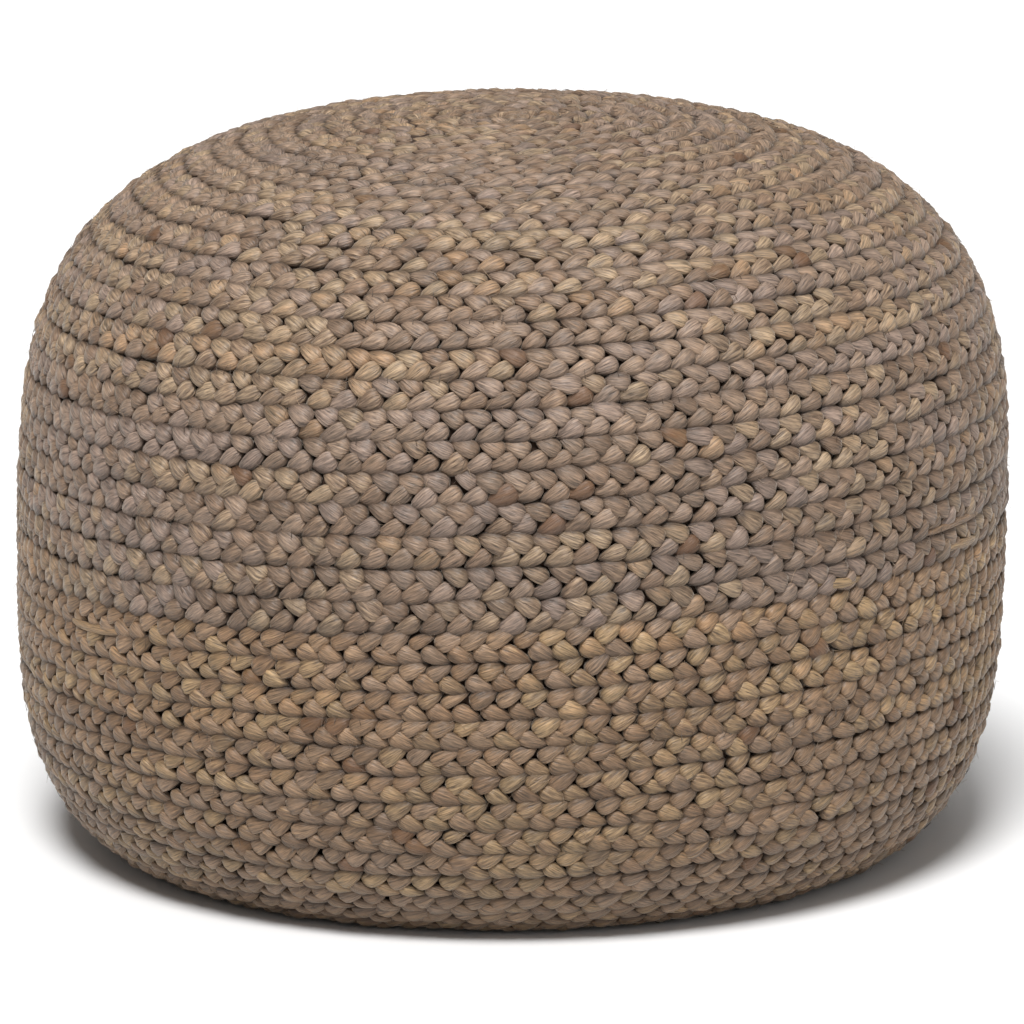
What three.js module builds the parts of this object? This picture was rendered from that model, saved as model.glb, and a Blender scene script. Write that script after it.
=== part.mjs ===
// A round floor pouf covered in coiled jute plait. The cover is two coils sewn together: a lower bowl
// wound out from the base, and an upper dome wound in to the crown. Each half is one filled solid, with
// the rows of its coil as sewn channels. Millimetres, +Z up, origin under the middle of the base.
import * as THREE from 'three';
import { mergeVertices } from 'three/addons/utils/BufferGeometryUtils.js';

// Driving dimensions.
const overallWidth = 480;
const overallHeight = 355;
const widestHeight = 156;      // where the side stands out furthest
const baseFlatRadius = 186;    // the flat that rests on the floor
const channelDepth = 3;        // how far the seam between two rows is drawn in
const crownEndRadius = 7.2;    // the folded end of the plait in the middle of the crown
const joinGap = 0.32;          // between the two halves

// The outline is two superelliptic arcs, one under the widest height and one over it.
const lowerArc = { acrossPower: 1.5, upPower: 3.7 };
const upperArc = { acrossPower: 2.93, upPower: 3.23 };

// The join between the halves is a tilted ring: low at the left, high at the right.
const joinLength = 359.7;      // from the middle of the base, along the outline
const joinDip = 11;            // how far along the outline it drops on one side and climbs on the other
const joinDipAzimuth = THREE.MathUtils.degToRad(160);

// A row of the coil is one width of the plait. The lower rows are pressed a little closer, and the upper
// ones close up towards the crown. Each coil runs out against the join: its row narrows to nothing over
// part of a turn. Steps count round the circle from +X towards +Y.
const stepsRound = 56;
const coils = {
  lower: { rowPitch: 13.6, closing: 0, endStep: 27, taperTurns: 0.28 },
  upper: { rowPitch: 14.1, closing: 0.1, endStep: 54, taperTurns: 0.25 },
};
const rowsToEvenOut = 12;      // rows from the join over which the jog of that end fades

// A soft thing is never quite round or upright.
const leanAcross = 7;          // the crown against the base, towards +X
const unevenness = [
  { waves: 2, azimuth: 0.5, amount: 0.003 },
  { waves: 3, azimuth: 1.9, amount: 0.003 },
  { waves: 5, azimuth: 4.0, amount: 0.0015 },
];

const outlineSteps = 600;
const smallestTriangle = 1e-6; // square millimetres; anything less has collapsed to a line
const mergeDistance = 1e-3;
const halfWidth = overallWidth / 2;
const quarterTurn = Math.PI / 2;
const { clamp, lerp } = THREE.MathUtils;

// Radius and height on the outline: u is 0 at the edge of the base flat, 1 at the widest height and 2 in
// the middle of the crown.
function outlinePoint(u) {
  if (u <= 1) {
    const across = Math.sin(u * quarterTurn) ** (2 / lowerArc.acrossPower);
    const down = Math.cos(u * quarterTurn) ** (2 / lowerArc.upPower);
    return new THREE.Vector2(lerp(baseFlatRadius, halfWidth, across), widestHeight * (1 - down));
  }
  const across = Math.cos((u - 1) * quarterTurn) ** (2 / upperArc.acrossPower);
  const up = Math.sin((u - 1) * quarterTurn) ** (2 / upperArc.upPower);
  return new THREE.Vector2(halfWidth * across, lerp(widestHeight, overallHeight, up));
}

// The outline by its length from the middle of the base, because rows are counted along it.
const outline = [{ length: 0, point: new THREE.Vector2(0, 0) }];
for (let i = 0; i <= outlineSteps; i += 1) {
  const point = outlinePoint(2 * i / outlineSteps);
  const last = outline[outline.length - 1];
  outline.push({ length: last.length + point.distanceTo(last.point), point });
}
const outlineLength = outline[outline.length - 1].length;

// Radius and height at a length along the outline, set in from the surface.
function outlineAt(length, inset) {
  const found = outline.findIndex((entry) => entry.length >= length);
  const next = found < 0 ? outline.length - 1 : Math.max(found, 1);
  const from = outline[next - 1];
  const to = outline[next];
  const share = clamp((length - from.length) / (to.length - from.length), 0, 1);
  const along = to.point.clone().sub(from.point).normalize();
  const inward = new THREE.Vector2(-along.y, along.x);
  return from.point.clone().lerp(to.point, share).addScaledVector(inward, inset);
}

// A row takes all of the join's tilt at the join, and none at the base flat or the crown.
function tiltShare(length) {
  const levelLength = length <= joinLength ? baseFlatRadius : outlineLength;
  return Math.max(0, (levelLength - length) / (levelLength - joinLength)) ** 1.5;
}

// A point of the pouf at an azimuth and a length along the outline.
function surfacePoint(azimuth, length, inset) {
  const dip = joinDip * tiltShare(length) * Math.cos(azimuth - joinDipAzimuth);
  const { x: radius, y: height } = outlineAt(length - dip, inset);
  let roundness = 1;
  for (const { waves, azimuth: peak, amount } of unevenness) {
    roundness += amount * Math.cos(waves * (azimuth - peak));
  }
  const lean = leanAcross * (height - widestHeight) / overallHeight;
  return new THREE.Vector3(
    radius * roundness * Math.cos(azimuth) + lean,
    radius * roundness * Math.sin(azimuth),
    height,
  );
}

// How many rows lie between the join and the seam that is so many turns along the coil from its end.
function rowsFromJoin(turns, taperTurns) {
  if (turns <= 0) {
    return 0;
  }
  const row = Math.floor(turns);
  const share = turns - row;
  const jog = Math.sin(quarterTurn * Math.min(1, share / taperTurns));
  return row + lerp(jog, share, Math.min(1, row / rowsToEvenOut));
}

// One half: the spiral of rows from the join to farLength. Rows climb the outline when way is 1 and go
// down it when way is -1. joinCentre and farCentre are the middles of its two end faces.
function coiledHalf({ way, farLength, coil, joinCentre, farCentre }) {
  const nearLength = joinLength + way * joinGap / 2;
  const span = Math.abs(farLength - nearLength);
  const rows = Math.round(span / coil.rowPitch * stepsRound) / stepsRound;
  const pitch = span / rows;
  const rowSteps = Math.round((rows + 1) * stepsRound);

  const azimuthAt = (step) => 4 * quarterTurn * (coil.endStep + way * step) / stepsRound;
  const rowsAt = (step) => Math.min(rows, rowsFromJoin(step / stepsRound - 1, coil.taperTurns));
  const seamLength = (step) => {
    const share = rowsAt(step) / rows;
    return nearLength + way * span * (share + coil.closing * share * (1 - share));
  };
  const seamInset = (step) => channelDepth * clamp((seamLength(step) - baseFlatRadius) / pitch, 0, 1);

  const seam = [];
  for (let step = 0; step <= rowSteps + stepsRound; step += 1) {
    seam.push(surfacePoint(azimuthAt(step), seamLength(step), seamInset(step)));
  }
  const crest = [];
  for (let step = 0; step <= rowSteps; step += 1) {
    const near = step;
    const far = step + stepsRound;
    const fullness = Math.min(1, rowsAt(far) - rowsAt(near));
    const inset = (1 - fullness) * (seamInset(near) + seamInset(far)) / 2;
    crest.push(surfacePoint(azimuthAt(step), (seamLength(near) + seamLength(far)) / 2, inset));
  }

  const corners = [];
  const addTriangle = (a, b, c) => {
    const area = b.clone().sub(a).cross(c.clone().sub(a)).length() / 2;
    if (area > smallestTriangle) {
      corners.push(a, b, c);
    }
  };
  for (let step = 0; step < rowSteps; step += 1) {
    const far = step + stepsRound;
    addTriangle(seam[step], seam[step + 1], crest[step + 1]);
    addTriangle(seam[step], crest[step + 1], crest[step]);
    addTriangle(crest[step], crest[step + 1], seam[far + 1]);
    addTriangle(crest[step], seam[far + 1], seam[far]);
  }
  for (let step = 0; step < stepsRound; step += 1) {
    addTriangle(joinCentre, seam[step + 1], seam[step]);
    addTriangle(farCentre, seam[rowSteps + step], seam[rowSteps + step + 1]);
  }
  return mergeVertices(new THREE.BufferGeometry().setFromPoints(corners), mergeDistance);
}

// The two end faces at the join meet the axis at the join's mean height.
const joinHeight = outlineAt(joinLength, 0).y;
const baseLean = -leanAcross * widestHeight / overallHeight;

const lowerGeometry = coiledHalf({
  way: -1,
  farLength: baseFlatRadius,
  coil: coils.lower,
  joinCentre: new THREE.Vector3(0, 0, joinHeight - joinGap / 2),
  farCentre: new THREE.Vector3(baseLean, 0, 0),
});
const upperGeometry = coiledHalf({
  way: 1,
  farLength: outlineLength - crownEndRadius,
  coil: coils.upper,
  joinCentre: new THREE.Vector3(0, 0, joinHeight + joinGap / 2),
  farCentre: surfacePoint(0, outlineLength, channelDepth),
});

// The middle of the pair's outer box goes over the origin.
lowerGeometry.computeBoundingBox();
upperGeometry.computeBoundingBox();
const outerBox = lowerGeometry.boundingBox.clone().union(upperGeometry.boundingBox);
const middle = outerBox.getCenter(new THREE.Vector3());

const brownJute = new THREE.MeshStandardMaterial({ color: 0x7a6551, roughness: 0.85, metalness: 0 });
const greyJute = new THREE.MeshStandardMaterial({ color: 0x8a7866, roughness: 0.8, metalness: 0 });

const lowerHalf = new THREE.Mesh(lowerGeometry, brownJute);
lowerHalf.name = 'lower_half';
const upperHalf = new THREE.Mesh(upperGeometry, greyJute);
upperHalf.name = 'upper_half';

const pouf = new THREE.Group();
pouf.add(lowerHalf, upperHalf);
pouf.position.set(-middle.x, -middle.y, 0);

export default pouf;
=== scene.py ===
import math
import bpy
import numpy as np
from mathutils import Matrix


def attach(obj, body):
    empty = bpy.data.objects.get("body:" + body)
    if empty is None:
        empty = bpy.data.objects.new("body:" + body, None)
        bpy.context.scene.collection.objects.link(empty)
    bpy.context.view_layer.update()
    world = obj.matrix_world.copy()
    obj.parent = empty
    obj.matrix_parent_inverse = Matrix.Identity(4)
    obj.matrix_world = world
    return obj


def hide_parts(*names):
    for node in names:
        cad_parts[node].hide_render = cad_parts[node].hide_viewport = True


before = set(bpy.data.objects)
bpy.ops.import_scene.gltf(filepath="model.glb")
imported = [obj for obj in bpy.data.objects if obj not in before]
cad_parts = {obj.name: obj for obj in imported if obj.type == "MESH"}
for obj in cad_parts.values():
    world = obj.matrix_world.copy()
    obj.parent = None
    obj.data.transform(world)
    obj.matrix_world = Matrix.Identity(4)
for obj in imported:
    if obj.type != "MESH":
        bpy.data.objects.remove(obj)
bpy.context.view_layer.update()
print("frame loaded:", sorted(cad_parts))

turn = 2 * math.pi
mm = 0.001


# The pouf's own shape, the same sizes as its solids, in metres.
pouf = dict(
    width=0.480,
    height=0.355,
    widestHeight=0.156,
    baseFlatRadius=0.186,
    lowerPowers=(1.5, 3.7),  # across, up
    upperPowers=(2.93, 3.23),
    joinLength=0.3597,  # from the middle of the base, along the outline
    joinDip=0.011,
    joinDipAzimuth=math.radians(160),
    crownEndRadius=0.0072,
    leanAcross=0.007,
    waves=((2, 0.5, 0.003), (3, 1.9, 0.003), (5, 4.0, 0.0015)),  # count, azimuth, amount
    outlineSteps=600,
)


def outlineTable():
    # A point of the outline is on one of two superelliptic arcs: radius = flat + (R - flat) sin^(2/p) and
    # height = h (1 - cos^(2/q)) under the widest height, R cos^(2/p) and h + (H - h) sin^(2/q) over it.
    u = np.linspace(0, 2, pouf["outlineSteps"] + 1)
    R, H, h, flat = pouf["width"] / 2, pouf["height"], pouf["widestHeight"], pouf["baseFlatRadius"]
    a = np.where(u <= 1, u, u - 1) * math.pi / 2
    sine, cosine = np.sin(a), np.clip(np.cos(a), 0, 1)
    (pl, ql), (pu, qu) = pouf["lowerPowers"], pouf["upperPowers"]
    r = np.where(u <= 1, flat + (R - flat) * sine ** (2 / pl), R * cosine ** (2 / pu))
    z = np.where(u <= 1, h * (1 - cosine ** (2 / ql)), h + (H - h) * sine ** (2 / qu))
    r, z = np.r_[0, r], np.r_[0, z]
    length = np.r_[0, np.cumsum(np.hypot(np.diff(r), np.diff(z)))]
    dr, dz = np.gradient(r, length), np.gradient(z, length)
    size = np.hypot(dr, dz)
    return length, r, z, dz / size, -dr / size  # the last two are the outward normal


outLength, outRadius, outHeight, outNormalR, outNormalZ = outlineTable()
crownLength = outLength[-1]


def tiltShare(length):
    # All of the join's tilt at the join, none at the base flat or the crown, and x^1.5 between.
    join = pouf["joinLength"]
    level = np.where(length <= join, pouf["baseFlatRadius"], crownLength)
    return np.clip((level - length) / (level - join), 0, 1) ** 1.5


def surfacePoint(azimuth, length, lift=0.0):
    # The outline at (length - dip cos(azimuth - low side)), turned round the axis, and lifted by lift along
    # its normal. A length past either middle comes out on the far side of it.
    length = length - pouf["joinDip"] * tiltShare(length) * np.cos(azimuth - pouf["joinDipAzimuth"])
    side = np.where((length < 0) | (length > crownLength), -1.0, 1.0)
    length = np.where(length > crownLength, 2 * crownLength - length, np.abs(length))
    r = side * (np.interp(length, outLength, outRadius) + lift * np.interp(length, outLength, outNormalR))
    z = np.interp(length, outLength, outHeight) + lift * np.interp(length, outLength, outNormalZ)
    for count, peak, amount in pouf["waves"]:
        r = r * (1 + amount * np.cos(count * (azimuth - peak)))
    lean = pouf["leanAcross"] * (z - pouf["widestHeight"]) / pouf["height"]
    return np.stack([r * np.cos(azimuth) + lean, r * np.sin(azimuth), z], -1)


def centreOffset():
    # The solids were moved so that their box is centred over the origin; this is the same move.
    azimuth, length = np.meshgrid(np.linspace(0, turn, 361), np.linspace(0, crownLength, 400))
    points = surfacePoint(azimuth, length).reshape(-1, 3)
    middle = (points.min(0) + points.max(0)) / 2
    return np.array([middle[0], middle[1], 0.0])


offset = centreOffset()


# The plait. Three flat strands cross over and under, and what shows of each crossing is a lobe shaped like
# a drop. Its flat side lies along the row's seam, its tail comes out from under the lobe before, and its
# round head reaches a little past the middle of the row, between two heads from the other side.
plait = dict(
    coils=dict(
        upper=dict(rowPitch=14.1 * mm, closing=0.1, endStep=54, taperTurns=0.25, seed=7),
        lower=dict(rowPitch=13.6 * mm, closing=0.0, endStep=27, taperTurns=0.28, seed=23),
    ),
    stepsRound=56,
    rowsToEvenOut=12,
    joinGap=0.32 * mm,
    linePoints=360,  # on the line of the coil, in each turn
    stopShort=0.1,  # of a row, before the middle of the crown or of the base
    rowWidth=14.1 * mm,  # the row that the sizes below are for
    lobePitch=12.2 * mm,  # between heads on the same side of a row
    headRadius=4.75 * mm,
    seamSide=1.12,  # how much wider the lobe is towards its seam, against its middle
    middleSide=0.95,
    headMiddle=2.6 * mm,  # from the middle of the row towards its seam
    tailLength=10.6 * mm,  # from the middle of the head
    slant=math.radians(25),  # of the lobe against the row
    powers=(1.7, 2.3),  # of the outline behind and ahead
    sectionPowers=(0.85, 0.68),  # of the section across and up, where 1 and 1 would be an ellipse
    halfThick=3.0 * mm,
    tailThin=0.45,  # the share of that which the tail has lost at its tip
    tailBlunt=3,  # the larger it is, the nearer its tip the tail has its thickness
    tailSink=2.9 * mm,
    headDip=1.1 * mm,
    roll=0.12,  # how far the seam side hangs, as a slope
    seamFrom=5.6 * mm,  # from the middle of the row, where the shade of the seam begins
    seamOver=1.2 * mm,  # how far on it is full
    seamShade=0.37,  # how dark it is then
    deepAt=4.6 * mm,  # how far down a lobe is painted as dark as its painted shade gets
    leastShare=0.25,  # of a full row, that a lobe is still scaled down to
    mostShare=1.2,
    flatKept=0.4,  # the share of its thickness that a lobe would keep in a row of no width
    narrowSink=2.5 * mm,  # how far it would sink there
    leastBend=6 * mm,  # radius of the tightest bend
    strandWidth=9 * mm,  # on the fibre map
    mapColumns=97,  # lobes side by side on the fibre map
    mapSteps=(0.031, 0.047),
    wander=0.5 * mm,  # of the row, with a knot every so many lobes
    wanderLobes=9,
    swell=0.3 * mm,  # of the lift, in the same way
    swellLobes=14,
    toneLobes=5.5,  # between the knots of a strand's tone
    spread=dict(
        place=0.04, wide=0.08, long=0.07, turned=math.radians(5), shifted=0.45 * mm, lift=0.35 * mm),
)


def rowsFromJoin(turns, taperTurns):
    # Whole rows plus a share of the next, which comes in over part of a turn at the join (the sine of the
    # share) and evens out to the share itself some rows on.
    row = np.floor(np.maximum(turns, 0))
    share = np.maximum(turns, 0) - row
    jog = np.sin(math.pi / 2 * np.minimum(1, share / taperTurns))
    even = np.minimum(1, row / plait["rowsToEvenOut"])
    return np.where(turns <= 0, 0, row + jog + (share - jog) * even)


def coilLine(half):
    # The seams on either side of the row against the angle wound from the coil's end: length = join + way
    # span (x + closing x (1 - x)), where x is the rows' share of the span, and straight on past it. The near
    # seam is the far one of a turn before.
    coil = plait["coils"][half]
    way = 1 if half == "upper" else -1
    near = pouf["joinLength"] + way * plait["joinGap"] / 2
    far = crownLength - pouf["crownEndRadius"] if half == "upper" else pouf["baseFlatRadius"]
    span = abs(far - near)
    steps = plait["stepsRound"]
    rows = round(span / coil["rowPitch"] * steps) / steps
    toMiddle = crownLength - near if half == "upper" else near
    enough = toMiddle / span * rows * 1.2 + 1  # turns, a fifth too many; what passes the middle is cut off
    turns = np.arange(0, enough, 1 / plait["linePoints"])

    def seam(angle):
        x = rowsFromJoin(angle, coil["taperTurns"]) / rows
        inside = np.minimum(x, 1)
        curved = inside + coil["closing"] * inside * (1 - inside)
        return near + way * span * (curved + (1 - coil["closing"]) * (x - inside))

    nearSeam, farSeam = seam(turns - 1), seam(turns)
    azimuth = turn * (coil["endStep"] / steps + way * turns)
    middle, width = (nearSeam + farSeam) / 2, np.abs(farSeam - nearSeam)
    left = (crownLength - middle) if half == "upper" else middle
    keep = left > plait["stopShort"] * coil["rowPitch"]
    return dict(azimuth=azimuth[keep], middle=middle[keep], width=width[keep], seam=farSeam[keep])


def countLobes(line):
    # Lobes counted along the row: the sum of step / lobePitch, where a step is the distance between two
    # points of the row.
    points = surfacePoint(line["azimuth"], line["middle"])
    return np.r_[0, np.cumsum(np.linalg.norm(np.diff(points, axis=0), axis=1))] / plait["lobePitch"]


def smoothNoise(position, period, seed):
    # Random heights at every period along a line, joined by a cosine.
    rng = np.random.default_rng(seed)
    knots = rng.uniform(-1, 1, int(position.max() / period) + 3)
    at = position / period
    i = np.floor(at).astype(int)
    share = 0.5 - 0.5 * np.cos(math.pi * (at - i))
    return knots[i] * (1 - share) + knots[i + 1] * share


def lobeChances(rng, n, spread):
    # Each lobe's own width, length, turn, shift and lift, from bell curves, and four even chances.
    return dict(
        wide=rng.normal(1, spread["wide"], n),
        long=rng.normal(1, spread["long"], n),
        turned=rng.normal(0, spread["turned"], n),
        shifted=rng.normal(0, spread["shifted"], n),
        lift=rng.normal(0, spread["lift"], n),
        chance=rng.random((n, 4)),
    )


def placeLobes(half, seed):
    # One entry in each array for each lobe of a half. Heads stand at whole numbers of the count on one side
    # of the row and halfway between on the other, and every third head is of the same strand.
    line = coilLine(half)
    count = countLobes(line)
    rng = np.random.default_rng(seed)
    whole = np.arange(math.ceil(count[0]) + 1, math.floor(count[-1]) - 1)
    head = np.r_[whole, whole + 0.5]
    edge = np.r_[np.ones(len(whole)), -np.ones(len(whole))]
    strand = np.r_[(-whole) % 3, (1 - whole) % 3]
    order = np.argsort(head)
    head, edge, strand = head[order], edge[order], strand[order]
    n = len(head)
    place = head + rng.normal(0, plait["spread"]["place"], n)
    wander = plait["wander"] * smoothNoise(head, plait["wanderLobes"], seed + 1)
    lobes = dict(
        forward=1 if half == "upper" else -1,  # heads lie to the right in the dome, to the left in the bowl
        edge=edge,
        azimuth=np.interp(place, count, line["azimuth"]),
        middle=np.interp(head, count, line["middle"]) + wander,
        scale=np.interp(head, count, line["width"]) / plait["rowWidth"],
    )
    lobes.update(lobeChances(rng, n, plait["spread"]))
    lobes["lift"] += plait["swell"] * smoothNoise(head, plait["swellLobes"], seed + 2)
    tone = np.zeros(n)
    for k in range(3):
        here = strand == k
        tone[here] = smoothNoise(head, plait["toneLobes"], seed + 10 + k)[here]
    lobes["strandTone"] = tone
    return lobes


# The folded end of the plait, in the middle of the crown and of the base.
foldedEnd = dict(
    lobes=5,
    radius=1.5 * mm,
    lift=-0.5 * mm,
    tones=(-0.7, 0.3),
    spread=dict(place=0.09, wide=0.05, long=0.05, turned=math.radians(4), shifted=0.3 * mm, lift=0.2 * mm),
)


def placeEnd(half, seed):
    # Lobes at every turn / count round the middle of a half, with their heads towards it.
    rng = np.random.default_rng(seed)
    n, spread = foldedEnd["lobes"], foldedEnd["spread"]
    top = half == "upper"
    lobes = dict(
        forward=1 if top else -1,
        edge=np.full(n, -1.0 if top else 1.0),
        azimuth=turn * (np.arange(n) + rng.normal(0, spread["place"], n)) / n,
        middle=np.full(n, crownLength - foldedEnd["radius"] if top else foldedEnd["radius"]),
        scale=np.ones(n),
    )
    lobes.update(lobeChances(rng, n, spread))
    lobes["lift"] += foldedEnd["lift"]
    lobes["strandTone"] = rng.uniform(*foldedEnd["tones"], n)
    return lobes


# Angles round a lobe's section, four facets over the top and two under it, and the places of its rings, as
# shares of the way from the tail's tip to the end of the head.
sectionAngles = np.radians([-8, 36, 90, 144, 188, 270])
ringShares = np.array([0, 0.015, 0.23, 0.45, 0.63, 0.79, 0.915, 0.985, 1])


def lobeSurface(lobes):
    # At x along the axis from the middle of the head, the outline is (x / reach)^p + (w / r)^p = 1, with the
    # tail's reach behind and r ahead. The top sinks as tailSink (x / tail)^1.5 behind and headDip (x / r)^2
    # ahead. The section is a flattened superellipse that hangs towards the seam.
    r, tail = plait["headRadius"], plait["tailLength"]
    x = -tail + (tail + r) * ringShares
    behind, ahead = np.clip(-x / tail, 0, 1), np.clip(x / r, 0, 1)
    pb, pa = plait["powers"]
    full = np.where(x < 0, (1 - behind ** pb) ** (1 / pb), (1 - ahead ** pa) ** (1 / pa))
    fullThick = plait["halfThick"] * (1 - plait["tailThin"] * behind)
    thick = fullThick * np.sqrt(np.where(x < 0, np.minimum(1, full * plait["tailBlunt"]), full))
    top = -plait["tailSink"] * behind ** 1.5 - plait["headDip"] * ahead ** 2

    c, s = np.cos(sectionAngles), np.sin(sectionAngles)
    powerAcross, powerUp = plait["sectionPowers"]
    side = np.where(c > 0, plait["seamSide"], -plait["middleSide"])
    sideways = (r * full)[:, None] * side * np.abs(c) ** powerAcross
    upwards = (top - fullThick)[:, None] + thick[:, None] * (np.sign(s) * np.abs(s) ** powerUp)
    upwards = upwards - plait["roll"] * sideways

    share = np.clip(lobes["scale"], plait["leastShare"], plait["mostShare"])[:, None, None]
    slant = (plait["slant"] + lobes["turned"])[:, None, None]
    headMiddle = plait["headMiddle"] + lobes["shifted"][:, None, None]
    along = x[None, :, None] * lobes["long"][:, None, None]
    sideways = sideways * lobes["wide"][:, None, None]
    a = along * np.cos(slant) + sideways * np.sin(slant)
    b = headMiddle - along * np.sin(slant) + sideways * np.cos(slant)
    h = upwards * (plait["flatKept"] + (1 - plait["flatKept"]) * share)
    h = h - np.clip(1 - share, 0, 1) * plait["narrowSink"]
    # Painted shade: a point's colour is darkened by how far it lies below the top, up to deepAt, and by a
    # painted seam shade near the seam.
    seamShade = plait["seamShade"] * np.clip((b - plait["seamFrom"]) / plait["seamOver"], 0, 1)
    sunk = np.clip(-h / plait["deepAt"] + seamShade, 0, 1)

    # The lobe is bent on to the pouf: a turns the azimuth, b runs along the outline, h lifts.
    length = lobes["middle"][:, None, None] + b * share * lobes["edge"][:, None, None]
    foot = surfacePoint(lobes["azimuth"], lobes["middle"])
    radius = np.maximum(np.hypot(foot[:, 0], foot[:, 1]), plait["leastBend"])[:, None, None]
    azimuth = lobes["azimuth"][:, None, None] + lobes["forward"] * a / radius
    points = surfacePoint(azimuth, length, h + lobes["lift"][:, None, None]) - offset
    points[..., 2] = np.maximum(points[..., 2], 0.0)

    across = np.broadcast_to(sectionAngles / math.pi * plait["strandWidth"], b.shape)
    return points, across, np.broadcast_to(along, b.shape), sunk


def tubeFaces(rings, sides):
    # Quads between neighbouring rings of one closed spindle, and a fan of triangles at each end. Point 0 is
    # the first end, then come rings x sides points, then the last end.
    ring = 1 + np.arange(rings)[:, None] * sides
    at = np.arange(sides)
    after = (at + 1) % sides
    quads = np.stack([ring[:-1] + at, ring[:-1] + after, ring[1:] + after, ring[1:] + at], -1)
    lastRing = 1 + (rings - 1) * sides
    firstFan = np.stack([np.zeros(sides, int), 1 + after, 1 + at], -1)
    lastFan = np.stack([np.full(sides, lastRing + sides), lastRing + at, lastRing + after], -1)
    return quads.reshape(-1, 4), np.r_[firstFan, lastFan]


def spindlePoints(grid):
    # An end's ring is one point, repeated. This drops the repeats: n x (rings + 2) x sides x k becomes
    # n x (2 + rings sides) x k.
    n, rows, sides, k = grid.shape
    first, last = grid[:, 0, :1], grid[:, -1, :1]
    return np.concatenate([first, grid[:, 1:-1].reshape(n, -1, k), last], 1)


def makeMesh(name, points, quads, tris, attributes=(), uv=None):
    # Points, then quads, then triangles, straight into a mesh, smooth shaded. The uv is per point.
    mesh = bpy.data.meshes.new(name)
    mesh.vertices.add(len(points))
    mesh.vertices.foreach_set("co", np.ascontiguousarray(points, np.float32).ravel())
    corners = np.r_[quads.ravel(), tris.ravel()].astype(np.int32)
    mesh.loops.add(len(corners))
    mesh.loops.foreach_set("vertex_index", corners)
    starts = np.r_[np.arange(len(quads)) * 4, len(quads) * 4 + np.arange(len(tris)) * 3]
    mesh.polygons.add(len(quads) + len(tris))
    mesh.polygons.foreach_set("loop_start", starts.astype(np.int32))
    mesh.update(calc_edges=True)
    mesh.polygons.foreach_set("use_smooth", np.ones(len(mesh.polygons), bool))
    for label, values in attributes:
        made = mesh.attributes.new(label, "FLOAT_COLOR", "POINT")
        made.data.foreach_set("color", np.ascontiguousarray(values, np.float32).ravel())
    if uv is not None:
        layer = mesh.uv_layers.new(name="fibreMap")
        layer.data.foreach_set("uv", np.ascontiguousarray(uv[corners], np.float32).ravel())
    mesh.validate()
    piece = bpy.data.objects.new(name, mesh)
    bpy.context.scene.collection.objects.link(piece)
    return piece


def buildPlait(name, lobes, chosen):
    # The chosen lobes of one half as one joined mesh. Its attribute holds each lobe's tone, (strand's tone +
    # 1) / 2, two of its chances and each point's share of painted shade, from its depth and the seam. On the
    # fibre map, lobe i stands in column i mod columns and row i / columns.
    part = {k: (v[chosen] if isinstance(v, np.ndarray) else v) for k, v in lobes.items()}
    points, across, along, sunk = lobeSurface(part)
    rings = len(ringShares) - 2
    n, sides = len(points), len(sectionAngles)
    flat = spindlePoints(points).reshape(-1, 3)
    quads, tris = tubeFaces(rings, sides)
    base = (np.arange(n) * (2 + rings * sides))[:, None, None]
    flip = part["edge"] * part["forward"] < 0  # a mirrored lobe has its faces turned round
    quadsAll = base + quads[None]
    trisAll = base + tris[None]
    quadsAll[flip] = quadsAll[flip][:, :, ::-1]
    trisAll[flip] = trisAll[flip][:, :, ::-1]
    depth = spindlePoints(sunk[..., None])[..., 0]
    tone = part["strandTone"][:, None] * 0.5 + 0.5
    chance = part["chance"]
    same = [np.broadcast_to(value, depth.shape) for value in (tone, chance[:, :1], chance[:, 1:2])]
    colour = np.stack([*same, depth], -1).reshape(-1, 4)
    column, row = np.arange(n) % plait["mapColumns"], np.arange(n) // plait["mapColumns"]
    stepAcross, stepAlong = plait["mapSteps"]
    u = spindlePoints(across[..., None])[..., 0] + column[:, None] * stepAcross
    v = spindlePoints(along[..., None])[..., 0] + row[:, None] * stepAlong
    return makeMesh(name, flat, quadsAll.reshape(-1, 4), trisAll.reshape(-1, 3),
                    [("strand", colour)], np.stack([u, v], -1).reshape(-1, 2))


# The filled cushion under the plait. It shows only as the dark ground between the lobes.
filling = dict(
    voxel=11 * mm,
    inset=3.6 * mm,
    pressure=4.0,
    frames=20,
    mostMove=2.5 * mm,
    fill=0.9,
    colours=((28, 20, 15), (80, 60, 47)),  # on screen, 0 to 255
    grain=900.0,  # across a metre
    bump=0.4 * mm,
)


def joinedSolids(name):
    # Both halves' solids, copied into one mesh.
    points, faces, base = [], [], 0
    for node in ("lower_half", "upper_half"):
        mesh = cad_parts[node].data
        co = np.empty(len(mesh.vertices) * 3, np.float32)
        mesh.vertices.foreach_get("co", co)
        tri = np.empty(len(mesh.polygons) * 3, np.int32)
        mesh.polygons.foreach_get("vertices", tri)
        points.append(co.reshape(-1, 3))
        faces.append(tri.reshape(-1, 3) + base)
        base += len(mesh.vertices)
    return makeMesh(name, np.concatenate(points), np.zeros((0, 4), int), np.concatenate(faces))


def applyModifiers(piece):
    # The piece keeps the mesh that its modifiers make.
    graph = bpy.context.evaluated_depsgraph_get()
    made = bpy.data.meshes.new_from_object(piece.evaluated_get(graph))
    piece.modifiers.clear()
    piece.data = made


def pointsOf(mesh):
    # The mesh's corners, n x 3.
    co = np.empty(len(mesh.vertices) * 3, np.float32)
    mesh.vertices.foreach_get("co", co)
    return co.reshape(-1, 3)


def normalsOf(mesh):
    # The normals at its corners, n x 3.
    normal = np.empty(len(mesh.vertices) * 3, np.float32)
    mesh.vertex_normals.foreach_get("vector", normal)
    return normal.reshape(-1, 3)


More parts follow.
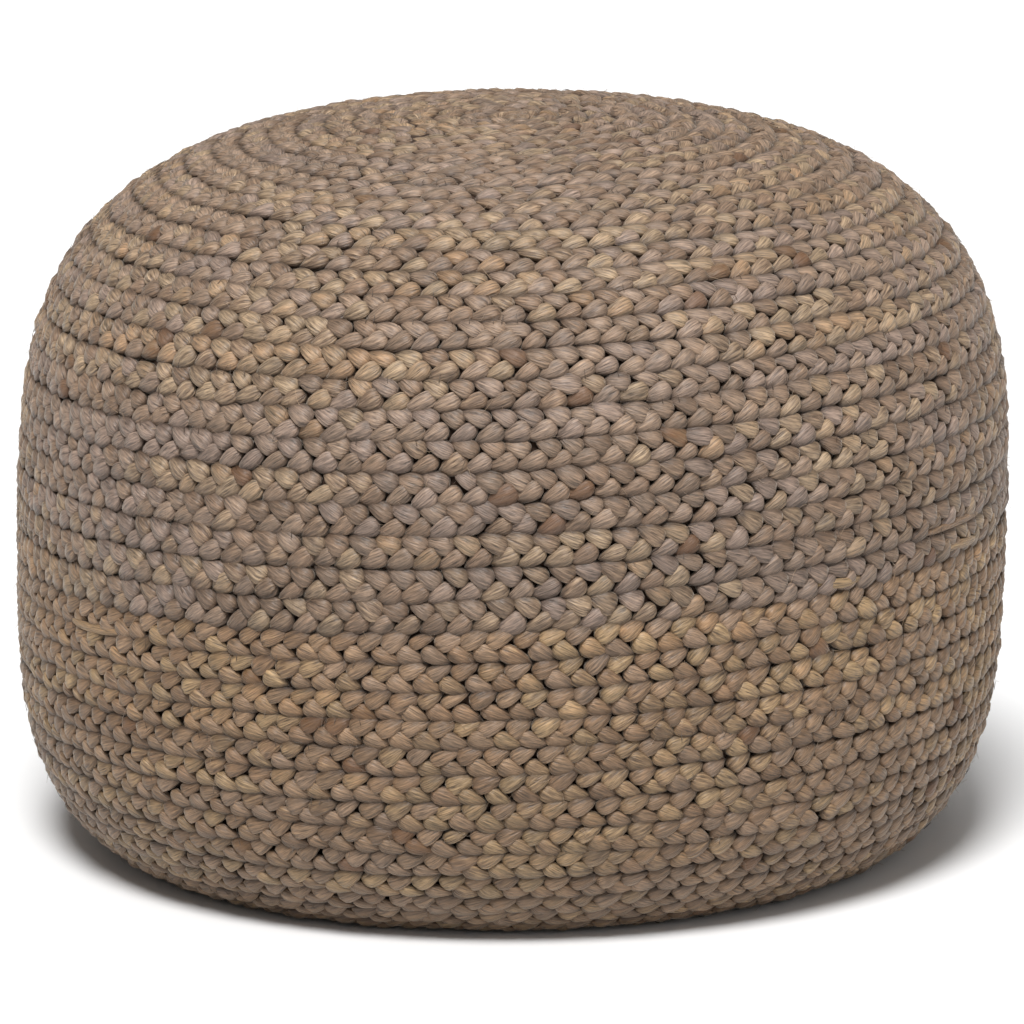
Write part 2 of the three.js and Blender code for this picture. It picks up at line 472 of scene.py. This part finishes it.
def buildFilling():
    # The solids' form, remeshed, drawn in by inset along its normals, swollen by cloth under pressure with
    # each point's way capped at mostMove, then subdivided once.
    piece = joinedSolids("filled_cushion")
    remesh = piece.modifiers.new("remesh", "REMESH")
    remesh.mode = "VOXEL"
    remesh.voxel_size = filling["voxel"]
    applyModifiers(piece)
    start = pointsOf(piece.data) - normalsOf(piece.data) * filling["inset"]
    piece.data.vertices.foreach_set("co", start.ravel())
    piece.data.update()
    cloth = piece.modifiers.new("swell", "CLOTH")
    cloth.settings.use_pressure = True
    cloth.settings.uniform_pressure_force = filling["pressure"]
    cloth.settings.effector_weights.gravity = 0
    scene = bpy.context.scene
    for step in range(1, filling["frames"] + 1):
        scene.frame_set(step)
    applyModifiers(piece)
    scene.frame_set(1)
    moved = pointsOf(piece.data) - start
    far = np.linalg.norm(moved, axis=1, keepdims=True)
    moved *= np.minimum(1, filling["mostMove"] / np.maximum(far, 1e-9))
    piece.data.vertices.foreach_set("co", (start + moved).ravel())
    piece.data.update()
    smooth = piece.modifiers.new("smooth", "SUBSURF")
    smooth.levels = 1
    smooth.render_levels = 1
    applyModifiers(piece)
    piece.data.polygons.foreach_set("use_smooth", np.ones(len(piece.data.polygons), bool))
    return piece


# Hairs: loose fibres that stand off the plait, and stitches that show here and there across its seams.
hairs = dict(
    steps=4,
    sides=3,
    riseSkew=2.2,  # the larger it is, the fewer rise far
    curve=1.6,  # of the rise along the hair
    thinning=0.6,  # the share of its thickness that it has lost at the tip
    leastBend=20 * mm,  # radius of the tightest bend
    overFloor=0.3 * mm,
)
fuzz = dict(
    hairs,
    count=4000,
    seed=41,
    shortest=4 * mm,
    longest=13 * mm,
    thick=0.13 * mm,
    start=-1.6 * mm,
    leastLift=1.2 * mm,
    mostLift=3.0 * mm,
    bow=1.6 * mm,
    spread=0.75,  # of the bearing, in radians
    atMiddle=0.05,  # the share that is left in the middle of the crown
    tones=(0.35, 0.85),
)
stitches = dict(
    hairs,
    tries=4200,
    seed=67,
    shortest=3.0 * mm,
    longest=5.0 * mm,
    thick=0.2 * mm,
    start=-0.25 * mm,
    leastLift=0.0,
    mostLift=0.5 * mm,
    bow=0.4 * mm,
    spread=0.22,
    before=2 * mm,  # how far short of the seam a stitch begins
    runPoints=26,  # of the coil's line, between knots of the noise
    runFrom=0.15,  # how high the noise has to be for a stitch
    strand=(0.55, 0.0, 0.5, 0.85),  # tone, lightness, stain, share of painted shade
)


def buildHairs(name, hair, rng, azimuth, length, bearing, colour):
    # A hair of length L leaves the plait at a place and a bearing: along = L t cos(bearing), across = L t
    # sin(bearing) + bow sin(pi t), lift = start + rise t^curve. Its section is a triangle that shrinks
    # towards the tip.
    n, steps, sides = len(azimuth), hair["steps"], hair["sides"]
    long = rng.uniform(hair["shortest"], hair["longest"], n)
    bow = rng.normal(0, hair["bow"], n)
    rise = hair["mostLift"] * rng.random(n) ** hair["riseSkew"] + hair["leastLift"]
    t = np.linspace(0, 1, steps)[None]
    along = long[:, None] * t * np.cos(bearing)[:, None]
    across = long[:, None] * t * np.sin(bearing)[:, None] + bow[:, None] * np.sin(math.pi * t)
    lift = hair["start"] + rise[:, None] * t ** hair["curve"]
    radius = np.maximum(np.interp(length, outLength, outRadius), hair["leastBend"])[:, None]
    centre = surfacePoint(azimuth[:, None] + along / radius, length[:, None] + across, lift) - offset
    centre[..., 2] = np.maximum(centre[..., 2], hair["overFloor"])
    ahead = np.gradient(centre, axis=1)
    ahead /= np.linalg.norm(ahead, axis=-1, keepdims=True)
    sideways = np.cross(ahead, np.array([0.3, 0.2, 0.93]))  # any fixed direction that few hairs lie along
    sideways /= np.maximum(np.linalg.norm(sideways, axis=-1, keepdims=True), 1e-9)
    upward = np.cross(sideways, ahead)
    angle = turn * np.arange(sides) / sides
    thick = hair["thick"] * (1 - hair["thinning"] * t[..., None])
    ring = sideways[:, :, None] * np.cos(angle)[:, None] + upward[:, :, None] * np.sin(angle)[:, None]
    tube = centre[:, :, None] + ring * thick[..., None]
    first, last = centre[:, :1, None], centre[:, -1:, None]
    grid = np.concatenate([np.repeat(first, sides, 2), tube, np.repeat(last, sides, 2)], 1)
    points = spindlePoints(grid).reshape(-1, 3)
    quads, tris = tubeFaces(steps, sides)
    perHair = 2 + steps * sides
    base = (np.arange(n) * perHair)[:, None, None]
    return makeMesh(name, points, (base + quads).reshape(-1, 4), (base + tris).reshape(-1, 3),
                    [("strand", np.repeat(colour, perHair, 0))], np.repeat(rng.random((n, 2)), perHair, 0))


def buildFuzz():
    # Evenly over the cover, thinned by radius / full radius towards the middle of the crown, at a bearing
    # near the row's own, either way along it.
    rng = np.random.default_rng(fuzz["seed"])
    n = fuzz["count"]
    azimuth = rng.uniform(0, turn, n)
    length = rng.uniform(pouf["baseFlatRadius"], crownLength, n)
    reach = np.interp(length, outLength, outRadius) / (pouf["width"] / 2)
    keep = rng.random(n) < reach + fuzz["atMiddle"]
    azimuth, length = azimuth[keep], length[keep]
    n = len(azimuth)
    bearing = rng.normal(0, fuzz["spread"], n) + math.pi * rng.integers(0, 2, n)
    chance = rng.random((n, 3))
    darkest, lightest = fuzz["tones"]
    tone = darkest + (lightest - darkest) * chance[:, :1]
    colour = np.concatenate([tone, chance[:, 1:], np.zeros((n, 1))], 1)
    return buildHairs("loose_fibres", fuzz, rng, azimuth, length, bearing, colour)


def buildStitches():
    # Across the seams of both coils, at chance places along them, thinned by radius / full radius towards
    # the middle of the crown, and only where a slow noise along the coil is high, so that they come in runs.
    rng = np.random.default_rng(stitches["seed"])
    places = []
    for half in plait["coils"]:
        line = coilLine(half)
        at = np.arange(len(line["seam"]))
        run = smoothNoise(at, stitches["runPoints"], stitches["seed"] + len(places))
        pick = rng.integers(0, len(at), stitches["tries"] // 2)
        pick = pick[(run[pick] > stitches["runFrom"]) & (line["seam"][pick] > pouf["baseFlatRadius"])]
        reach = np.interp(line["seam"][pick], outLength, outRadius) / (pouf["width"] / 2)
        pick = pick[rng.random(len(pick)) < reach]
        places.append(np.stack([line["azimuth"][pick], line["seam"][pick]]))
    azimuth, seam = np.concatenate(places, 1)
    n = len(azimuth)
    bearing = math.pi / 2 + rng.normal(0, stitches["spread"], n)
    colour = np.tile(stitches["strand"], (n, 1))
    return buildHairs("seam_stitches", stitches, rng, azimuth, seam - stitches["before"], bearing, colour)


# The smooth ends of strand that run out along the join.
coilEnds = dict(
    strands=(  # where each starts and its span, in degrees, its length along the outline, half its width and
        # half its thickness
        dict(start=323, span=17, length=375.6 * mm, wide=2.3 * mm, thick=1.7 * mm),
        dict(start=325, span=15, length=364.2 * mm, wide=2.6 * mm, thick=1.9 * mm),
        dict(start=306, span=8, length=364.6 * mm, wide=2.6 * mm, thick=2.0 * mm),
        dict(start=209, span=13, length=347.6 * mm, wide=2.4 * mm, thick=1.8 * mm),
    ),
    rings=22,
    sides=10,
    blunt=0.6,  # power of the half width's sine
    sway=0.9 * mm,
    swayRate=4,
    sunk=-4.2 * mm,  # at both tips
    rise=2.6 * mm,
    riseBlunt=0.7,
    ripple=0.4 * mm,
    rippleRate=9,
    tones=(0.55, 0.12),  # of the first, and a step for each one after
    chances=(0.7, 0.4, 0.15),  # lightness, stain, share of painted shade
    mapStep=0.05,
)


def buildCoilEnds():
    # Each is a flat spindle along the join: half width and thickness follow sin(pi t)^blunt, its middle
    # sways by sin(swayRate t), and it sinks under the plait at both tips: lift = sunk + rise sin(pi t)^
    # riseBlunt + ripple sin(rippleRate t).
    rings, sides = coilEnds["rings"], coilEnds["sides"]
    t = np.linspace(0, 1, rings + 2)
    arch = np.sin(math.pi * t)
    body = arch ** coilEnds["blunt"]
    angle = turn * np.arange(sides) / sides
    around = np.broadcast_to(angle / math.pi * plait["strandWidth"], (rings + 2, sides))
    firstTone, toneStep = coilEnds["tones"]
    grids, colours, uvs = [], [], []
    for i, end in enumerate(coilEnds["strands"]):
        start, span = math.radians(end["start"]), math.radians(end["span"])
        azimuth = start + span * t
        across = end["length"] + coilEnds["sway"] * np.sin(coilEnds["swayRate"] * t + i)
        wide, thick = end["wide"] * body, end["thick"] * body
        ripple = coilEnds["ripple"] * np.sin(coilEnds["rippleRate"] * t + 2 * i)
        lift = coilEnds["sunk"] + coilEnds["rise"] * arch ** coilEnds["riseBlunt"] + ripple
        length = across[:, None] + wide[:, None] * np.cos(angle)[None]
        up = lift[:, None] + thick[:, None] * np.sin(angle)[None]
        grids.append(surfacePoint(azimuth[:, None] + 0 * up, length, up) - offset)
        strand = [firstTone + toneStep * i, *coilEnds["chances"]]
        colours.append(np.full((rings + 2, sides, 4), strand))
        along = np.broadcast_to((t * span * pouf["width"] / 2)[:, None], up.shape)
        uvs.append(np.stack([around + coilEnds["mapStep"] * i, along], -1))
    points = spindlePoints(np.array(grids)).reshape(-1, 3)
    colour = spindlePoints(np.array(colours)).reshape(-1, 4)
    uv = spindlePoints(np.array(uvs)).reshape(-1, 2)
    quads, tris = tubeFaces(rings, sides)
    base = (np.arange(len(grids)) * (2 + rings * sides))[:, None, None]
    return makeMesh("coil_end_strands", points, (base + quads).reshape(-1, 4), (base + tris).reshape(-1, 3),
                    [("strand", colour)], uv)


# Colours as they read in daylight, 0 to 255 on screen.
jute = dict(
    upper=dict(
        lilac=(127, 109, 97),
        taupe=(129, 109, 92),
        brown=(116, 95, 78),
        straw=(142, 122, 99),
        tan=(134, 108, 84),
    ),
    lower=dict(
        lilac=(136, 112, 91),
        taupe=(138, 112, 87),
        brown=(124, 98, 75),
        straw=(151, 126, 94),
        tan=(142, 112, 83),
    ),
    places=dict(lilac=0.1, taupe=0.36, brown=0.58, straw=0.8, tan=1.0),  # by the strand's tone
    streakNudge=0.4,  # of the tone by a strand's streaks
    drift=7.0,  # slow changes across a metre
    driftNudge=0.5,
    leastLight=0.82,  # of a lobe, by its chance
    lightRange=0.36,
    streakAcross=2700.0,  # fibres per metre across a strand
    streakAlong=130.0,
    coarseScale=(0.4, 0.7),  # of the coarse fibres against the fine ones
    fineLight=2.6,  # light from fine fibres, coarse ones and none
    coarseLight=2.0,
    noLight=-1.27,
    leastStreak=0.3,
    stain=(96, 62, 34),
    stainFrom=0.988,  # the chance past which a lobe has a stain
    # painted shade: the colour painted into the depths between lobes and along the seams, and its power
    paintedShade=(44, 30, 22),
    deepPower=1.7,
    low=0.7,  # painted light: the factor on the jute's colour at the floor, painted darker low down
    climb=1.6,  # how much lighter the painted light makes the jute with each metre of height
    fineHeight=0.35,  # of the fibres in the bump
    coarseHeight=0.9,
    bump=1.5 * mm,
    leastRough=0.34,
    roughRange=0.3,
    sheen=0.3,
    sheenRough=0.32,
    sheenTint=(235, 225, 210),
)


def linear(colour):
    # Screen value to light: (v / 255) ^ 2.2 for each channel.
    return tuple((v / 255) ** 2.2 for v in colour) + (1.0,)


def addNode(tree, kind, **inputs):
    # A node with some inputs set.
    node = tree.nodes.new(kind)
    for label, value in inputs.items():
        node.inputs[label.replace("_", " ")].default_value = value
    return node


def mathNode(tree, operation, a, b=None, clamp=False):
    # operation(a, b), where a and b are numbers or outputs.
    node = tree.nodes.new("ShaderNodeMath")
    node.operation = operation
    node.use_clamp = clamp
    for i, value in enumerate((a, b)):
        if value is None:
            continue
        if isinstance(value, (int, float)):
            node.inputs[i].default_value = value
        else:
            tree.links.new(value, node.inputs[i])
    return node.outputs[0]


def scaled(tree, value, factor, base):
    # base + factor x value.
    return mathNode(tree, "ADD", base, mathNode(tree, "MULTIPLY", value, factor))


def centred(tree, value, factor):
    # factor x (value - 1/2).
    return mathNode(tree, "MULTIPLY", mathNode(tree, "SUBTRACT", value, 0.5), factor)


def mixColour(tree, share, a, b, blend="MIX"):
    # From a to b by share, or a with b blended over it.
    node = tree.nodes.new("ShaderNodeMix")
    node.data_type = "RGBA"
    node.blend_type = blend
    for socket, value in ((node.inputs["Factor"], share), (node.inputs[6], a), (node.inputs[7], b)):
        if isinstance(value, (int, float, tuple)):
            socket.default_value = value
        else:
            tree.links.new(value, socket)
    return node.outputs[2]


def noiseNode(tree, vector, scale, detail, rough=0.5):
    # Smooth noise from 0 to 1 at scale x vector.
    node = addNode(tree, "ShaderNodeTexNoise", Scale=scale, Detail=detail, Roughness=rough)
    tree.links.new(vector, node.inputs["Vector"])
    return node.outputs["Fac"]


def stretched(tree, vector, scale):
    # vector x scale, axis by axis.
    node = tree.nodes.new("ShaderNodeVectorMath")
    node.operation = "MULTIPLY"
    node.inputs[1].default_value = scale
    tree.links.new(vector, node.inputs[0])
    return node.outputs[0]


def newGroup(name, inputs, outputs):
    # An empty shader node group with named sockets.
    tree = bpy.data.node_groups.new(name, "ShaderNodeTree")
    for label, kind in inputs:
        tree.interface.new_socket(label, in_out="INPUT", socket_type=kind)
    for label, kind in outputs:
        tree.interface.new_socket(label, in_out="OUTPUT", socket_type=kind)
    return tree, tree.nodes.new("NodeGroupInput"), tree.nodes.new("NodeGroupOutput")


def fibreStreakGroup():
    # Fine and coarse fibres along a strand, as stretched noise on a map with across in x and along in y, and
    # their height, fineHeight x fine + coarseHeight x coarse.
    number = "NodeSocketFloat"
    tree, into, out = newGroup(
        "fibreStreaks", [("Map", "NodeSocketVector")],
        [("Fine", number), ("Coarse", number), ("Height", number)])
    across, along = jute["streakAcross"], jute["streakAlong"]
    coarseAcross, coarseAlong = jute["coarseScale"]
    fineMap = stretched(tree, into.outputs["Map"], (across, along, 1))
    coarseMap = stretched(tree, into.outputs["Map"], (across * coarseAcross, along * coarseAlong, 1))
    fine = noiseNode(tree, fineMap, 1.0, 2.0, 0.6)
    coarse = noiseNode(tree, coarseMap, 1.0, 2.0, 0.6)
    fineHeight = mathNode(tree, "MULTIPLY", fine, jute["fineHeight"])
    coarseHeight = mathNode(tree, "MULTIPLY", coarse, jute["coarseHeight"])
    height = mathNode(tree, "ADD", fineHeight, coarseHeight)
    tree.links.new(fine, out.inputs["Fine"])
    tree.links.new(coarse, out.inputs["Coarse"])
    tree.links.new(height, out.inputs["Height"])
    return tree


def juteMaterial(name, tones, streaks):
    # Colour = ramp(tone + streaks + drift) x the lobe's lightness x the light of its fibres x (low + climb
    # z), which is painted light that grows with height, then a stain on a few lobes, then the painted shade
    # colour by depth^deepPower.
    material = bpy.data.materials.new(name)
    material.use_nodes = True
    tree = material.node_tree
    shader = tree.nodes["Principled BSDF"]
    fibreMap = tree.nodes.new("ShaderNodeUVMap")
    fibreMap.uv_map = "fibreMap"
    fibres = tree.nodes.new("ShaderNodeGroup")
    fibres.node_tree = streaks
    tree.links.new(fibreMap.outputs["UV"], fibres.inputs["Map"])
    fine, coarse = fibres.outputs["Fine"], fibres.outputs["Coarse"]
    strand = tree.nodes.new("ShaderNodeAttribute")
    strand.attribute_name = "strand"
    parts = tree.nodes.new("ShaderNodeSeparateColor")
    tree.links.new(strand.outputs["Color"], parts.inputs["Color"])
    tone, light, stain = parts.outputs[0], parts.outputs[1], parts.outputs[2]
    place = tree.nodes.new("ShaderNodeTexCoord").outputs["Object"]

    # The strand's tone, nudged by its streaks and by a slow drift over the whole pouf.
    drift = noiseNode(tree, place, jute["drift"], 2.0)
    nudged = mathNode(tree, "ADD", tone, centred(tree, coarse, jute["streakNudge"]))
    nudged = mathNode(tree, "ADD", nudged, centred(tree, drift, jute["driftNudge"]))
    ramp = tree.nodes.new("ShaderNodeValToRGB")
    tree.links.new(nudged, ramp.inputs["Fac"])
    stops = ramp.color_ramp.elements
    for i, (label, at) in enumerate(jute["places"].items()):
        stop = stops[i] if i < 2 else stops.new(at)
        stop.position = at
        stop.color = linear(tones[label])

    # Lighter and darker lobes and fibres, painted light that grows with height, then stains, then painted
    # shade in the depths.
    lightness = scaled(tree, light, jute["lightRange"], jute["leastLight"])
    fineLight = mathNode(tree, "MULTIPLY", fine, jute["fineLight"])
    coarseLight = mathNode(tree, "MULTIPLY", coarse, jute["coarseLight"])
    streakLight = mathNode(tree, "ADD", mathNode(tree, "ADD", fineLight, coarseLight), jute["noLight"])
    streakLight = mathNode(tree, "MAXIMUM", streakLight, jute["leastStreak"])
    axes = tree.nodes.new("ShaderNodeSeparateXYZ")
    tree.links.new(place, axes.inputs[0])
    # Painted light: the colour is painted lighter with height, low + climb z.
    paintedHeightLight = scaled(tree, axes.outputs[2], jute["climb"], jute["low"])
    level = mathNode(tree, "MULTIPLY", mathNode(tree, "MULTIPLY", lightness, streakLight), paintedHeightLight)
    shade = tree.nodes.new("ShaderNodeCombineColor")
    for i in range(3):
        tree.links.new(level, shade.inputs[i])
    colour = mixColour(tree, 1.0, ramp.outputs["Color"], shade.outputs["Color"], "MULTIPLY")
    isStained = mathNode(tree, "GREATER_THAN", stain, jute["stainFrom"])
    patchy = mathNode(tree, "ADD", coarse, 0.1)
    stained = mathNode(tree, "MULTIPLY", isStained, patchy, clamp=True)
    colour = mixColour(tree, stained, colour, linear(jute["stain"]))
    # Painted shade: the dark shade colour is mixed in by the point's depth and seam shade.
    paintedShadeMix = mathNode(tree, "POWER", strand.outputs["Alpha"], jute["deepPower"], clamp=True)
    colour = mixColour(tree, paintedShadeMix, colour, linear(jute["paintedShade"]))
    tree.links.new(colour, shader.inputs["Base Color"])

    rough = scaled(tree, fine, jute["roughRange"], jute["leastRough"])
    tree.links.new(rough, shader.inputs["Roughness"])
    bump = addNode(tree, "ShaderNodeBump", Strength=0.8, Distance=jute["bump"])
    tree.links.new(fibres.outputs["Height"], bump.inputs["Height"])
    tree.links.new(bump.outputs["Normal"], shader.inputs["Normal"])
    shader.inputs["Sheen Weight"].default_value = jute["sheen"]
    shader.inputs["Sheen Roughness"].default_value = jute["sheenRough"]
    shader.inputs["Sheen Tint"].default_value = linear(jute["sheenTint"])
    return material


def groundMaterial():
    # The backs of the strands and the shade between them: one dark colour to the other, by a tight noise.
    material = bpy.data.materials.new("groundJute")
    material.use_nodes = True
    tree = material.node_tree
    shader = tree.nodes["Principled BSDF"]
    place = tree.nodes.new("ShaderNodeTexCoord").outputs["Object"]
    grain = noiseNode(tree, place, filling["grain"], 3.0)
    darkest, lightest = filling["colours"]
    colour = mixColour(tree, grain, linear(darkest), linear(lightest))
    tree.links.new(colour, shader.inputs["Base Color"])
    bump = addNode(tree, "ShaderNodeBump", Strength=0.6, Distance=filling["bump"])
    tree.links.new(grain, bump.inputs["Height"])
    tree.links.new(bump.outputs["Normal"], shader.inputs["Normal"])
    shader.inputs["Roughness"].default_value = 0.95
    return material


# The picture: a long lens a little above the crown's edge, on a pale floor in soft light.
studio = dict(
    distance=3.6,
    elevation=math.radians(12.5),
    lens=260.6,
    sensor=36.0,
    farthest=50,
    aimDrop=0.0188,  # the pouf sits a little above the middle of the picture
    floorSize=14.0,
    floorColour=(0.9, 0.9, 0.9, 1),
    sky=0.19,
    lights=(  # name, direction it comes from, width in degrees, power
        ("key", (-0.1, -0.6, 1.0), 20, 3.5),
        ("fill", (0.9, -0.9, 0.7), 50, 0.3),
        ("top", (0.0, -0.1, 1.0), 40, 0.5),
    ),
)


def buildStudio():
    # The camera stands at distance x (-cos e, sin e) from the middle of the pouf and looks at it, turned
    # down by atan(aimDrop / distance). Each sun is turned to shine from its direction.
    camera = bpy.data.objects.new("camera", bpy.data.cameras.new("camera"))
    bpy.context.scene.collection.objects.link(camera)
    camera.data.lens = studio["lens"]
    camera.data.sensor_width = studio["sensor"]
    camera.data.clip_end = studio["farthest"]
    e = studio["elevation"]
    aim = np.array([0, 0, pouf["height"] / 2])
    camera.location = aim + studio["distance"] * np.array([0, -math.cos(e), math.sin(e)])
    drop = math.atan(studio["aimDrop"] / studio["distance"])
    camera.rotation_euler = (math.pi / 2 - e - drop, 0, 0)
    bpy.context.scene.camera = camera

    half = studio["floorSize"] / 2
    corners = half * np.array([[-1, -1, 0], [1, -1, 0], [1, 1, 0], [-1, 1, 0]])
    floor = makeMesh("floor", corners, np.array([[0, 1, 2, 3]]), np.zeros((0, 3), int))
    paper = bpy.data.materials.new("paleFloor")
    paper.use_nodes = True
    surface = paper.node_tree.nodes["Principled BSDF"]
    surface.inputs["Base Color"].default_value = studio["floorColour"]
    surface.inputs["Roughness"].default_value = 0.9
    floor.data.materials.append(paper)

    world = bpy.data.worlds.new("studio")
    world.use_nodes = True
    world.node_tree.nodes["Background"].inputs["Color"].default_value = (1, 1, 1, 1)
    world.node_tree.nodes["Background"].inputs["Strength"].default_value = studio["sky"]
    bpy.context.scene.world = world
    for name, (x, y, z), width, power in studio["lights"]:
        light = bpy.data.lights.new(name, "SUN")
        light.angle = math.radians(width)
        light.energy = power
        lamp = bpy.data.objects.new(name, light)
        bpy.context.scene.collection.objects.link(lamp)
        lamp.location = (x, y, z)
        lamp.rotation_euler = (math.atan2(math.hypot(x, y), z), 0, math.atan2(x, -y))
    bpy.context.scene.view_settings.view_transform = "Standard"


buildStudio()
print("studio ready")

streaks = fibreStreakGroup()
finishes = dict(
    upper=juteMaterial("greyJutePlait", jute["upper"], streaks),
    lower=juteMaterial("brownJutePlait", jute["lower"], streaks),
)
ground = groundMaterial()
print("materials ready")

bands = dict(  # name, share of the half's lobes from the join on
    upper=(
        ("upper_plait_side", 0.0, 0.36),
        ("upper_plait_shoulder", 0.36, 0.7),
        ("upper_plait_crown", 0.7, 1.0),
    ),
    lower=(
        ("lower_plait_side", 0.0, 0.5),
        ("lower_plait_base", 0.5, 1.0),
    ),
)
for half, coil in plait["coils"].items():
    lobes = placeLobes(half, coil["seed"])
    total = len(lobes["edge"])
    for name, start, end in bands[half]:
        chosen = np.arange(int(start * total), int(end * total))
        piece = buildPlait(name, lobes, chosen)
        piece.data.materials.append(finishes[half])
        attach(piece, "root")
        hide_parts(half + "_half")
        print(name, len(chosen), "lobes", len(piece.data.polygons), "faces")
    folded = buildPlait(half + "_plait_end", placeEnd(half, coil["seed"] + 5), np.arange(foldedEnd["lobes"]))
    folded.data.materials.append(finishes[half])
    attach(folded, "root")

cushion = buildFilling()
cushion.data.materials.append(ground)
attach(cushion, "root")
print("filled cushion", len(cushion.data.polygons), "faces")

for piece in (buildFuzz(), buildStitches()):
    piece.data.materials.append(finishes["upper"])
    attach(piece, "root")
    print(piece.name, len(piece.data.polygons), "faces")

ends = buildCoilEnds()
ends.data.materials.append(finishes["lower"])
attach(ends, "root")
print("fibres and coil ends ready")
